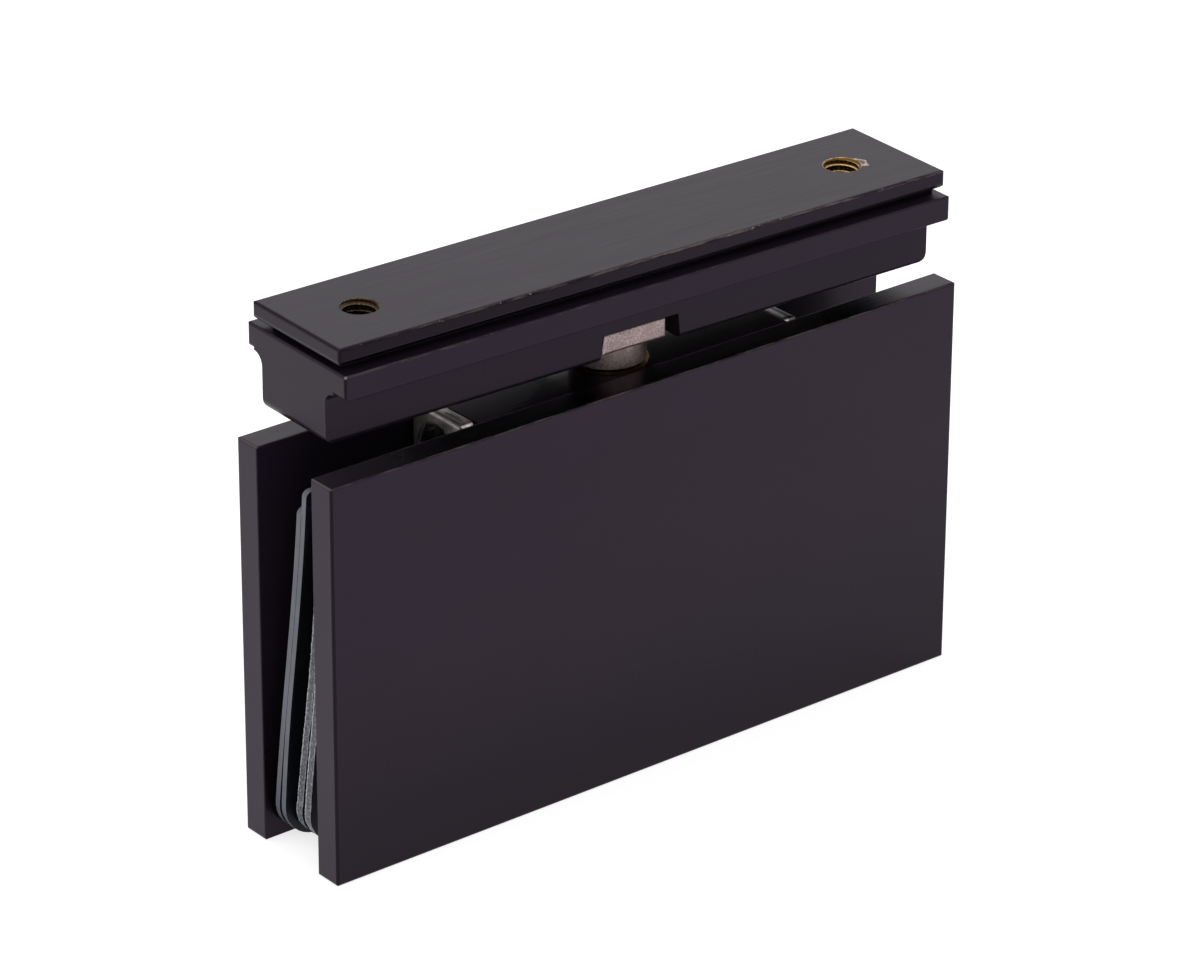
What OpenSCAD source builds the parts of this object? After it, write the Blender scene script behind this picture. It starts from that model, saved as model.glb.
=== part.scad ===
// Pivot hinge for a frameless glass door.
// Two clamp plates and a core block hold the glass, and a mount with a fixed pin turns on them.
// X runs along the plates, Y points to the back plate and Z is up.
// The pivot axis is the Z axis, and the plates stand on Z = 0. All sizes are in millimetres.

/* [Clamp plates] */
// Length of both plates
plate_l = 120; // [112:1:160]
// Height of both plates
plate_h = 65; // [60:1:90]
// Thickness of each plate
plate_t = 4.8; // [4.2:0.1:8]
// Free width between the plates, for the glass and its gaskets
slot_w = 13.4; // [12.8:0.1:18]
// Rounding of the plates' outer edges
plate_r = 0.4; // [0.3:0.1:0.8]
// Rounding of the plates' inner edges
inner_r = 0.15; // [0.1:0.05:0.25]

/* [Core block] */
// Length of the core block
core_l = 60; // [54:1:76]
// Height of the core block
core_h = 29; // [27:1:36]
// Depth of the spring bores' axis under the top of the block
spring_depth = 6; // [5.4:0.1:8]
// Radius of the spring bores
spring_bore_r = 4.6; // [4.2:0.1:5]
// Distance of each plate screw from the pivot axis
plate_screw_x = 19; // [14:0.5:20]
// Depth of the plate screws under the top of the block
plate_screw_depth = 19.5; // [17:0.5:22]
// Radius of the plate screws' thread
plate_screw_r = 3; // [2:0.5:3]
// Depth of the plate screws' thread in the front plate
plate_screw_grip = 3.4; // [2:0.1:3.6]

/* [End plates] */
// Thickness of the plates that close the spring bores
end_t = 2.4; // [2:0.1:4]
// Width of the end plates
end_w = 12; // [10.8:0.1:12.4]
// Height of the end plates
end_h = 20; // [18:0.5:26]
// Rounding of the end plates' outer edges
end_r = 0.8; // [0.3:0.1:1.2]
// Radius of the spring adjusters
adjuster_r = 4.4; // [4:0.1:4.5]
// Width of the rim round an adjuster's recess
adjuster_rim = 0.7; // [0.5:0.1:1]
// Length of the spring adjusters
adjuster_l = 6.2; // [4:0.1:7]
// Radius of the end plate screws' thread
end_screw_r = 1.5; // [1:0.25:1.5]
// Length of the end plate screws
end_screw_l = 9; // [6:0.5:9.5]
// Depth of the end plate screws under the top of the block
end_screw_depth = 15.5; // [14:0.1:16]

/* [Detent] */
// Length of a plunger's guided body
plunger_l = 9.5; // [7:0.5:11]
// Radius of a plunger's flat tip
plunger_tip_r = 2.6; // [1.5:0.1:3]
// Length of the spigot that centres the spring
spigot_l = 4; // [2:0.5:5]
// Thickness of the spring wire
spring_wire = 1; // [0.6:0.1:1.2]
// Number of turns in each spring
spring_turns = 5; // [3:0.5:6]
// Depth of the four flats on the pin
detent_d = 0.9; // [0.4:0.1:1]

/* [Pivot pin] */
// Length of the pin's square head along the mount
head_l = 12; // [10:0.1:14]
// Width of the head across the mount
head_w = 14.6; // [12:0.1:15]
// Height of the head
head_h = 3.3; // [2.5:0.1:3.8]
// Taper of the head's two ends towards its top
head_taper = 0.35; // [0.2:0.05:0.6]
// Offset of the head from the pivot axis along the mount
head_shift = -0.45; // [-1:0.05:1]
// Radius of the round collar under the head
collar_r = 5.9; // [5.4:0.1:6.6]
// Height of the collar
collar_h = 4; // [3:0.1:6]
// Radius of the shank
shank_r = 4.5; // [4:0.1:4.8]
// Thickness of the brass washer under the collar
washer_t = 0.3; // [0.2:0.1:1]
// Radius of that washer
washer_r = 6.3; // [5.8:0.1:7]
// Wall of the bronze bush in the core block
bush_t = 1.1; // [0.8:0.1:1.2]
// Thickness of the retaining ring
ring_t = 1; // [0.8:0.1:1.4]

/* [Carrier] */
// Length of the carrier
carrier_l = 112.5; // [104:0.5:140]
// Width of the flange
flange_w = 24.8; // [23:0.1:30]
// Thickness of the flange
flange_t = 4; // [3:0.1:6]
// Rounding of the flange's lower end corners
flange_end_r = 0.9; // [0.4:0.1:1.4]
// Width of the web
web_w = 16; // [15:0.1:18]
// Offset of the web to the back
web_shift = 0.8; // [0:0.1:1]
// Height of the web below the flange
web_h = 8.9; // [8:0.1:16]
// Height of the notch that takes the pin's head
notch_h = 4.2; // [3.8:0.1:5]
// Room beside the head for setting the pin along the notch
notch_slack = 2.4; // [0.5:0.1:4]
// Rounding between web and flange
cove_r = 2; // [0.5:0.1:3]
// Rounding of the web's lower edges
web_r = 1; // [0.5:0.1:2]
// Rounding of the web's lower end corners
web_end_r = 2; // [0.5:0.1:3]

/* [Tapped bar] */
// Length of the bar
bar_l = 112.5; // [104:0.5:140]
// Width of the bar
bar_w = 22; // [16:0.5:24]
// Thickness of the bar
bar_t = 3; // [3:0.1:6]
// Distance between the two tapped holes
hole_pitch = 90; // [70:1:98]
// Radius of the tapped holes
tap_r = 2.5; // [2:0.1:3]
// Radius of the carrier's through holes below them
through_r = 3.3; // [3.1:0.1:4]
// Thickness of the shim between bar and carrier
shim_t = 0.75; // [0.5:0.05:1.5]
// Distance of the shim's edge from the bar's edge
shim_inset = 1.8; // [1:0.1:4]

/* [Gaskets] */
// Thickness of the two clear gaskets
clear_t = 1.1; // [0.8:0.1:1.3]
// Thickness of the two frosted gaskets
frosted_t = 1.4; // [1:0.1:1.5]
// Height of the tallest gasket
gasket_h = 61; // [56:0.5:62]
// Distance of the gaskets' left edges from the plates' ends
gasket_inset = 1.3; // [1:0.1:4]
// Rounding of the gaskets' lower corners
gasket_r = 6.5; // [2:0.5:10]

/* [Pose] */
// Turn of the mount from the closed position, as it stands
swing = -1.67; // [-90:0.01:90]

/* [Hidden] */

$fn = 48;
black = [0.21, 0.19, 0.21];
steel = [0.68, 0.64, 0.62];
silver = [0.78, 0.78, 0.78];
brass = [0.75, 0.58, 0.32];
bronze = [0.62, 0.45, 0.26];
dark_steel = [0.25, 0.25, 0.27];
clear_vinyl = [0.72, 0.74, 0.76, 0.6];
frosted_vinyl = [0.6, 0.61, 0.62];

// Clearances
run_gap = 0.05;
thread_gap = 0.02;
bolt_gap = 0.2;
seat_gap = 0.1;
through = 1;

// Heights of the clamp's features
core_foot = plate_h - core_h;
spring_z = plate_h - spring_depth;
plate_screw_z = plate_h - plate_screw_depth;
end_screw_z = plate_h - end_screw_depth;
bush_gap = 1.2;
bush_top = spring_z - spring_bore_r - bush_gap;
bush_r = shank_r + run_gap + bush_t;

// Heights of the mount's features
collar_z = plate_h + washer_t + run_gap;
head_z = collar_z + collar_h;
notch_top = head_z + head_h;
web_z = notch_top - notch_h;
flange_z = web_z + web_h;
shim_z = flange_z + flange_t;
bar_z = shim_z + shim_t;

// Pin end and its retaining ring
ring_z = core_foot - seat_gap - ring_t;
ring_r = slot_w / 2 - 3 * seat_gap;
groove_d = 0.8;
pin_tail = 1.4;
pin_z = ring_z - pin_tail;
pin_chamfer = 0.6;
head_r = 0.6;
collar_chamfer = 0.2;

// Small roundings of carrier and shim
flange_r = 0.3;
shim_r = 1;

// Screws of the plates and of the end plates
socket_share = 0.65;
plate_screw_l = plate_t + slot_w + plate_screw_grip;
plate_screw_head_r = 2 * plate_screw_r;
end_screw_head_r = 2 * end_screw_r;

// Screw that holds the pin in the carrier
pin_screw_r = 2.5;
pin_screw_head_r = 4.8;
pin_screw_grip = 4.5;

// Plunger, spring and adjuster along the spring axis
tip_x = shank_r + run_gap;
plunger_r = spring_bore_r - run_gap;
plunger_chamfer = plunger_r - plunger_tip_r;
plunger_x = tip_x + plunger_l;
adjuster_face = core_l / 2 + end_t - bolt_gap;
adjuster_x = adjuster_face - adjuster_l;
adjuster_bevel = 0.25;
recess_r = adjuster_r - adjuster_rim;
recess_depth = 1.4;
spring_room = 0.4;
spring_r = spring_bore_r - spring_room - spring_wire / 2;
spigot_room = 0.3;
spigot_r = spring_r - spring_wire / 2 - spigot_room;
flat_room = 0.2;
flat_h = 2 * (spring_bore_r + flat_room);

// Gaskets from back to front: thickness, height below the tallest, shift along X, gap at the foot
gasket_ts = [clear_t, clear_t, frosted_t, frosted_t];
gasket_drops = [3, 0, 1, 1];
gasket_shifts = [0, 0.3, 0.9, 1.2];
gasket_foot_gaps = [0.25, 2, 0.9];
gasket_leaf_gap = 0.06;
gasket_l = plate_l - 2 * gasket_inset - gasket_shifts[3];
gasket_notch_room = 2;
gasket_notch_w = core_l + 2 * (end_t + gasket_notch_room);
gasket_notch_drop = 2.4;
gasket_notch_z = pin_z - gasket_notch_drop;
gasket_notch_r = 3;
gasket_tip_r = 1;
gasket_floor = 0.3;
// Extra room that a leaning sheet takes across the slot
lean_room = 1.02;
function sum_to(list, n) = n == 0 ? 0 : list[n - 1] + sum_to(list, n - 1);
function foot_y(i) = slot_w / 2 - seat_gap - lean_room * sum_to(gasket_ts, i) - sum_to(gasket_foot_gaps, i);
function sheets_before(i) = sum_to(gasket_ts, 4) - sum_to(gasket_ts, i);
function head_y(i) = -slot_w / 2 + seat_gap + lean_room * sheets_before(i) + (4 - i) * gasket_leaf_gap;
function lean(i) = atan((foot_y(i) - head_y(i)) / gasket_h);

// Waste outside a rounded corner, with the sharp corner at the origin and the part up and left of it
module corner_waste(r) {
    difference() {
        translate([-r, -through])
            square([r + through, r + through]);
        translate([-r, r])
            circle(r);
    }
}

// Rectangle that stands on the X axis, with its lower and upper corners rounded
module outline(w, h, low_r, high_r) {
    difference() {
        translate([-w / 2, 0])
            square([w, h]);
        for (side = [0, 1])
            mirror([side, 0]) {
                if (low_r > 0)
                    translate([w / 2, 0])
                        corner_waste(low_r);
                if (high_r > 0)
                    translate([w / 2, h])
                        mirror([0, 1])
                            corner_waste(high_r);
            }
    }
}

// Sets a drawing of X and Z up on edge, thick along Y
module on_front(depth) {
    rotate([90, 0, 0])
        linear_extrude(depth, center = true)
            children();
}

// Sets a drawing of Y and Z up on edge, long along X
module on_side(length) {
    rotate([90, 0, 90])
        linear_extrude(length, center = true)
            children();
}

// Block that stands on Z = 0 with rounded edges all round
module soft_block(l, w, h, plan_r, low_r, high_r) {
    intersection() {
        linear_extrude(h)
            translate([0, -w / 2])
                outline(l, w, plan_r, plan_r);
        on_front(w)
            outline(l, h, low_r, high_r);
        on_side(l)
            outline(w, h, low_r, high_r);
    }
}

// Turns what belongs to the mount about the pivot axis
module on_pivot() {
    rotate([0, 0, swing])
        children();
}

// Puts a drawing along Z on the spring axis, pointing out along X from the pivot
module on_spring_axis(x) {
    translate([x, 0, spring_z])
        rotate([0, 90, 0])
            children();
}

// Countersunk socket screw that points down from its flat top at the origin
module flush_screw(r, l, head_r, socket_r) {
    socket_depth = head_r - r;
    tip = 0.25 * r;
    difference() {
        union() {
            translate([0, 0, -(head_r - r)])
                cylinder(h = head_r - r, r1 = r, r2 = head_r);
            translate([0, 0, tip - l])
                cylinder(h = l - tip - (head_r - r) / 2, r = r);
            translate([0, 0, -l])
                cylinder(h = tip, r1 = r - tip, r2 = r);
        }
        translate([0, 0, -socket_depth])
            cylinder(h = socket_depth + through, r = socket_r, $fn = 6);
    }
}

// Room for a countersunk screw whose flat top is at the origin
module flush_hole(r, l, head_r, gap) {
    translate([0, 0, -l])
        cylinder(h = l + through, r = r + gap);
    translate([0, 0, r - head_r])
        cylinder(h = head_r - r, r1 = r + gap, r2 = head_r + gap);
    translate([0, 0, -run_gap])
        cylinder(h = through, r = head_r + gap);
}

// Places of the plate screws, each pointing from the back plate to the front
module at_plate_screws() {
    for (side = [-1, 1])
        translate([side * plate_screw_x, slot_w / 2 + plate_t, plate_screw_z])
            rotate([-90, 0, 0])
                children();
}

// Plate whose inner face lies on Y = 0 and whose outer face looks along Y
module clamp_plate() {
    block_w = 2 * plate_t;
    intersection() {
        soft_block(plate_l, block_w, plate_h, plate_r, plate_r, plate_r);
        translate([0, block_w / 2, 0])
            soft_block(plate_l, block_w, plate_h, inner_r, inner_r, inner_r);
    }
}

module front_plate() {
    color(black)
        difference() {
            mirror([0, 1, 0])
                translate([0, slot_w / 2, 0])
                    clamp_plate();
            at_plate_screws()
                translate([0, 0, -plate_screw_l - seat_gap])
                    cylinder(h = plate_screw_grip + seat_gap + through, r = plate_screw_r + thread_gap);
        }
}

module back_plate() {
    color(black)
        difference() {
            translate([0, slot_w / 2, 0])
                clamp_plate();
            at_plate_screws()
                flush_hole(plate_screw_r, plate_t + through, plate_screw_head_r, bolt_gap);
        }
}

module plate_screws() {
    color(dark_steel)
        at_plate_screws()
            flush_screw(plate_screw_r, plate_screw_l, plate_screw_head_r, socket_share * plate_screw_r);
}

module core_block() {
    color(black)
        difference() {
            translate([0, 0, core_foot])
                on_front(slot_w)
                    outline(core_l, core_h, plate_r, plate_r);
            translate([0, 0, core_foot - through])
                cylinder(h = core_h + 2 * through, r = shank_r + run_gap);
            translate([0, 0, core_foot - through])
                cylinder(h = bush_top - core_foot + through, r = bush_r + thread_gap);
            on_spring_axis(-core_l / 2 - through)
                cylinder(h = core_l + 2 * through, r = spring_bore_r);
            at_plate_screws()
                translate([0, 0, -plate_t - slot_w - through])
                    cylinder(h = slot_w + 2 * through, r = plate_screw_r + bolt_gap);
            at_end_screws()
                translate([0, 0, -end_screw_l - seat_gap])
                    cylinder(h = end_screw_l, r = end_screw_r + thread_gap);
        }
}

module pin_bush() {
    color(bronze)
        translate([0, 0, core_foot])
            difference() {
                cylinder(h = bush_top - core_foot - run_gap, r = bush_r);
                translate([0, 0, -through])
                    cylinder(h = core_h, r = shank_r + run_gap);
            }
}

module thrust_washer() {
    color(brass)
        translate([0, 0, plate_h])
            difference() {
                cylinder(h = washer_t, r = washer_r);
                translate([0, 0, -through])
                    cylinder(h = washer_t + 2 * through, r = shank_r + bolt_gap);
            }
}

// Places of the end plate screws, each pointing into the core block
module at_end_screws() {
    for (side = [0, 1])
        mirror([side, 0, 0])
            at_end_screw()
                children();
}

module at_end_screw() {
    translate([core_l / 2 + end_t, 0, end_screw_z])
        rotate([0, 90, 0])
            children();
}

// End plate on the side of +X, the outer half of a rounded block
module end_plate() {
    block_l = 2 * end_t;
    color(silver)
        difference() {
            translate([core_l / 2, 0, plate_h - end_h])
                soft_block(block_l, end_w, end_h, end_r, end_r, end_r);
            translate([core_l / 2 - block_l, -end_w, plate_h - 2 * end_h])
                cube([block_l, 2 * end_w, 3 * end_h]);
            on_spring_axis(core_l / 2 - through)
                cylinder(h = end_t + 2 * through, r = adjuster_r + thread_gap);
            at_end_screw()
                flush_hole(end_screw_r, end_t + through, end_screw_head_r, seat_gap);
        }
}

module end_plate_screws() {
    color(dark_steel)
        at_end_screws()
            flush_screw(end_screw_r, end_screw_l, end_screw_head_r, socket_share * end_screw_r);
}

// Set screw that loads the spring on the side of +X, with a hex socket in a round recess
module adjuster() {
    socket_depth = adjuster_l / 2;
    color(steel)
        difference() {
            union() {
                on_spring_axis(adjuster_x)
                    cylinder(h = adjuster_l - adjuster_bevel, r = adjuster_r);
                on_spring_axis(adjuster_face - adjuster_bevel)
                    cylinder(h = adjuster_bevel, r1 = adjuster_r, r2 = adjuster_r - adjuster_bevel);
            }
            on_spring_axis(adjuster_face - recess_depth)
                cylinder(h = recess_depth + through, r = recess_r);
            on_spring_axis(adjuster_face - socket_depth)
                cylinder(h = socket_depth, r = socket_share * recess_r, $fn = 6);
        }
}

// Plunger on the side of +X, drawn where its tip clears the pin's full round
module plunger() {
    color(steel)
        on_spring_axis(tip_x) {
            cylinder(h = plunger_chamfer, r1 = plunger_tip_r, r2 = plunger_r);
            translate([0, 0, plunger_chamfer])
                cylinder(h = plunger_l - plunger_chamfer, r = plunger_r);
            translate([0, 0, plunger_l])
                cylinder(h = spigot_l, r = spigot_r);
        }
}

// Wire coiled about the spring axis on the side of +X
module spring() {
    sides = 8;
    steps = round(16 * spring_turns);
    start = plunger_x + run_gap + spring_wire / 2;
    span = adjuster_x - run_gap - spring_wire / 2 - start;
    function ring_point(i, j) =
        let (
            turn = 360 * spring_turns * i / steps,
            around = 360 * j / sides,
            r = spring_r + spring_wire / 2 * cos(around)
        )
        [start + span * i / steps + spring_wire / 2 * sin(around), r * cos(turn), spring_z + r * sin(turn)];
    points = [for (i = [0:steps]) for (j = [0:sides - 1]) ring_point(i, j)];
    walls = [
        for (i = [0:steps - 1]) for (j = [0:sides - 1])
            let (k = (j + 1) % sides, a = i * sides, b = a + sides)
            each [[a + j, a + k, b + k], [a + j, b + k, b + j]]
    ];
    first_cap = [for (j = [sides - 1:-1:0]) j];
    last_cap = [for (j = [0:sides - 1]) steps * sides + j];
    color(dark_steel)
        polyhedron(points, concat(walls, [first_cap, last_cap]));
}

module end_plate_left() {
    mirror([1, 0, 0])
        end_plate();
}

module end_plate_right() {
    end_plate();
}

module adjuster_left() {
    mirror([1, 0, 0])
        adjuster();
}

module adjuster_right() {
    adjuster();
}

module plunger_left() {
    mirror([1, 0, 0])
        plunger();
}

module plunger_right() {
    plunger();
}

module spring_left() {
    mirror([1, 0, 0])
        spring();
}

module spring_right() {
    spring();
}

// Vinyl sheet that straddles the core block and leans from the back plate to the front plate
module gasket(i) {
    t = gasket_ts[i];
    h = gasket_h - gasket_drops[i];
    left_x = gasket_inset - plate_l / 2 + gasket_shifts[i];
    translate([left_x + gasket_l / 2, foot_y(i), gasket_floor + t * sin(lean(i))])
        rotate([lean(i) + 90, 0, 0])
            linear_extrude(t)
                difference() {
                    outline(gasket_l, h, gasket_r, gasket_tip_r);
                    translate([-left_x - gasket_l / 2, gasket_notch_z])
                        outline(gasket_notch_w, h, gasket_notch_r, 0);
                }
}

module clear_gasket_back() {
    color(clear_vinyl)
        gasket(0);
}

module clear_gasket_front() {
    color(clear_vinyl)
        gasket(1);
}

module frosted_gasket_back() {
    color(frosted_vinyl)
        gasket(2);
}

module frosted_gasket_front() {
    color(frosted_vinyl)
        gasket(3);
}

// Square head of the pin, standing on Z = 0, with its two ends tapered
module pin_head() {
    top_l = head_l - 2 * head_taper;
    intersection() {
        soft_block(head_l, head_w, head_h, head_r, head_r, head_r / 2);
        on_front(head_w)
            polygon([[-head_l / 2, 0], [head_l / 2, 0], [top_l / 2, head_h], [-top_l / 2, head_h]]);
    }
}

// Square head for the carrier's notch, collar for the weight and a shank with four detent flats
module pivot_pin() {
    color(steel)
        on_pivot()
            difference() {
                union() {
                    translate([head_shift, 0, head_z])
                        pin_head();
                    translate([0, 0, collar_z + collar_chamfer])
                        cylinder(h = collar_h - collar_chamfer, r = collar_r);
                    translate([0, 0, collar_z])
                        cylinder(h = collar_chamfer, r1 = collar_r - collar_chamfer, r2 = collar_r);
                    translate([0, 0, pin_z + pin_chamfer])
                        cylinder(h = collar_z - pin_z - pin_chamfer, r = shank_r);
                    translate([0, 0, pin_z])
                        cylinder(h = pin_chamfer, r1 = shank_r - pin_chamfer, r2 = shank_r);
                }
                for (turn = [0:90:270])
                    rotate([0, 0, turn])
                        translate([shank_r - detent_d, -shank_r, spring_z - flat_h / 2])
                            cube([shank_r, 2 * shank_r, flat_h]);
                translate([0, 0, ring_z - run_gap])
                    difference() {
                        cylinder(h = ring_t + 2 * run_gap, r = shank_r + through);
                        cylinder(h = ring_t + 2 * run_gap, r = shank_r - groove_d);
                    }
                translate([0, 0, notch_top - pin_screw_grip - seat_gap])
                    cylinder(h = pin_screw_grip + seat_gap + through, r = pin_screw_r + thread_gap);
            }
}

// Open ring that snaps into the groove at the pin's lower end
module retaining_ring() {
    color(dark_steel)
        on_pivot()
            translate([0, 0, ring_z])
                difference() {
                    cylinder(h = ring_t, r = ring_r);
                    translate([0, 0, -through])
                        cylinder(h = ring_t + 2 * through, r = shank_r - groove_d + thread_gap);
                    translate([0, -shank_r / 2, -through])
                        cube([2 * ring_r, shank_r, ring_t + 2 * through]);
                }
}

// Section of the web, which reaches into the flange above it with a cove on each side
module web_section() {
    translate([web_shift, 0])
        outline(web_w, web_h + flange_t / 2, web_r, 0);
    for (side = [-1, 1])
        translate([web_shift + side * web_w / 2, web_h])
            difference() {
                translate([-cove_r, -cove_r])
                    square([2 * cove_r, cove_r + flange_t / 2]);
                translate([side * cove_r, -cove_r])
                    circle(cove_r);
            }
}

// Web of the carrier, standing on Z = 0
module web() {
    intersection() {
        on_side(carrier_l)
            web_section();
        on_front(2 * flange_w)
            outline(carrier_l, web_h + flange_t, web_end_r, 0);
    }
}

// Flange of the carrier, standing on Z = 0
module flange() {
    intersection() {
        on_side(carrier_l)
            outline(flange_w, flange_t, flange_r, flange_r);
        on_front(flange_w)
            outline(carrier_l, flange_t, flange_end_r, flange_end_r / 2);
        linear_extrude(flange_t)
            translate([0, -flange_w / 2])
                outline(carrier_l, flange_w, flange_end_r / 2, flange_end_r / 2);
    }
}

// Places of the two holes that line up through carrier, shim and bar
module at_mount_holes() {
    for (side = [-1, 1])
        translate([side * hole_pitch / 2, 0, 0])
            children();
}

// Drawing of the notch up from below Z = 0, with its sides parallel to the ends of the pin's head
module notch_section() {
    top_x = head_l / 2 - head_taper + bolt_gap + notch_slack / 2;
    foot_x = top_x + (notch_h + through) * head_taper / head_h;
    translate([head_shift + notch_slack / 2, 0])
        polygon([[-foot_x, -through], [foot_x, -through], [top_x, notch_h], [-top_x, notch_h]]);
}

// Carrier bar with a notch for the pin and two countersunk holes from below
module pivot_carrier() {
    carrier_h = web_h + flange_t;
    sink = web_w / 2 - web_shift - through - through_r;
    color(black)
        on_pivot()
            translate([0, 0, web_z])
                difference() {
                    union() {
                        web();
                        translate([0, 0, web_h])
                            flange();
                    }
                    on_front(2 * flange_w)
                        notch_section();
                    at_mount_holes() {
                        translate([0, 0, -through])
                            cylinder(h = carrier_h + 2 * through, r = through_r);
                        translate([0, 0, -through])
                            cylinder(h = sink + through, r1 = through_r + sink + through, r2 = through_r);
                    }
                    translate([0, 0, carrier_h])
                        flush_hole(pin_screw_r, carrier_h, pin_screw_head_r, bolt_gap);
                }
}

module pin_screw() {
    screw_l = shim_z - notch_top + pin_screw_grip;
    color(dark_steel)
        on_pivot()
            translate([0, 0, shim_z])
                flush_screw(pin_screw_r, screw_l, pin_screw_head_r, socket_share * pin_screw_r);
}

module bar_shim() {
    color(black)
        on_pivot()
            translate([0, 0, shim_z])
                difference() {
                    linear_extrude(shim_t)
                        translate([0, -bar_w / 2 + shim_inset])
                            outline(bar_l - 2 * shim_inset, bar_w - 2 * shim_inset, shim_r, shim_r);
                    at_mount_holes()
                        translate([0, 0, -through])
                            cylinder(h = shim_t + 2 * through, r = through_r);
                }
}

// Bar with rounded lower edges and two tapped holes that are countersunk on both faces
module mount_bar() {
    low_r = 1.1;
    high_r = 0.5;
    sink = 0.5;
    color(black)
        on_pivot()
            translate([0, 0, bar_z])
                difference() {
                    soft_block(bar_l, bar_w, bar_t, high_r, low_r, high_r);
                    at_mount_holes() {
                        translate([0, 0, -through])
                            cylinder(h = bar_t + 2 * through, r = tap_r);
                        translate([0, 0, bar_t - sink])
                            cylinder(h = sink + through, r1 = tap_r, r2 = tap_r + sink + through);
                        translate([0, 0, -through])
                            cylinder(h = sink + through, r1 = tap_r + sink + through, r2 = tap_r);
                    }
                }
}

front_plate();
back_plate();
core_block();
pin_bush();
thrust_washer();
end_plate_left();
end_plate_right();
end_plate_screws();
adjuster_left();
adjuster_right();
spring_left();
spring_right();
plunger_left();
plunger_right();
plate_screws();
clear_gasket_back();
clear_gasket_front();
frosted_gasket_back();
frosted_gasket_front();
pivot_pin();
retaining_ring();
pivot_carrier();
pin_screw();
bar_shim();
mount_bar();
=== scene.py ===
"""Looks of a pivot hinge for a frameless glass door: finishes, vinyl gaskets, tapped threads and studio."""

import math
import random

import bmesh
import bpy
from mathutils import Matrix, Vector


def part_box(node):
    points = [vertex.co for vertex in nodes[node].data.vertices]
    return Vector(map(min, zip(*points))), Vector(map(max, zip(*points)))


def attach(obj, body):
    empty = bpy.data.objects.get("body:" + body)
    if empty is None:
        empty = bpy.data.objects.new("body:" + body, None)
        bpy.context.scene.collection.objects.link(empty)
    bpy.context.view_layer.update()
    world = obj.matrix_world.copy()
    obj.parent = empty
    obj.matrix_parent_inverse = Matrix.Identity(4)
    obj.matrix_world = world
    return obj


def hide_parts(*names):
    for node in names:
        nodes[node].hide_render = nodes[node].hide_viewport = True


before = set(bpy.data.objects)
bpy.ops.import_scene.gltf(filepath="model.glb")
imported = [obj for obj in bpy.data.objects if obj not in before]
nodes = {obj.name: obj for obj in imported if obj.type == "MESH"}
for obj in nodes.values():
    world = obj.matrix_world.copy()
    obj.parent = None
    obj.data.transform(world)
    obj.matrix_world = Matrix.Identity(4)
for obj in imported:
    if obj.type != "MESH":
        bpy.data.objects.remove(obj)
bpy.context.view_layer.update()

# Millimetres to metres, and the turn of the mount about the pivot axis as it stands
MM = 0.001
SWING = math.radians(-1.67)

# Colours, linear
COAT = (0.0088, 0.0060, 0.0105)
# Black of the painted shade lines in joints and under edges
CREASE_SHADE = (0.0015, 0.0012, 0.0016)
WASHER_BRASS = (0.80, 0.54, 0.21)
# Bare brass of worn places, which on the plates' edges is also a painted highlight
WORN_BRASS_AND_HIGHLIGHT = (0.42, 0.375, 0.29)
# Threads: a lit copy for the right hole and a shaded copy for the left, crests painted bright and roots
# painted dark with shade
LIT_ROOT = (0.110, 0.060, 0.016)
LIT_CREST = (0.66, 0.44, 0.18)
SHADED_ROOT = (0.045, 0.027, 0.012)
SHADED_CREST = (0.12, 0.095, 0.075)
BRONZE = (0.34, 0.20, 0.09)
PIN_STEEL = (0.275, 0.213, 0.208)
ADJUSTER_STEEL = (0.62, 0.59, 0.57)
GREY_STEEL = (0.30, 0.29, 0.29)
DARK_STEEL = (0.06, 0.06, 0.065)
NICKEL = (0.66, 0.60, 0.585)
FIBRE = (0.004, 0.004, 0.004)
# Vinyl: faces painted dark for the shaded slot seen through them, and cut edges
CLEAR_FACE_SHADE = (0.004, 0.0045, 0.007)
CLEAR_EDGE = (0.082, 0.085, 0.108)
FROSTED_FACE_SHADE = (0.006, 0.0065, 0.010)
FROSTED_EDGE = (0.046, 0.049, 0.064)
VINYL_GLINT = (0.70, 0.71, 0.75)
FLOOR = (0.50, 0.50, 0.50)
WHITE = (1.0, 1.0, 1.0)


def shade(colour, factor):
    """The colour with its brightness multiplied."""
    return tuple(min(1.0, c * factor) for c in colour)


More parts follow.
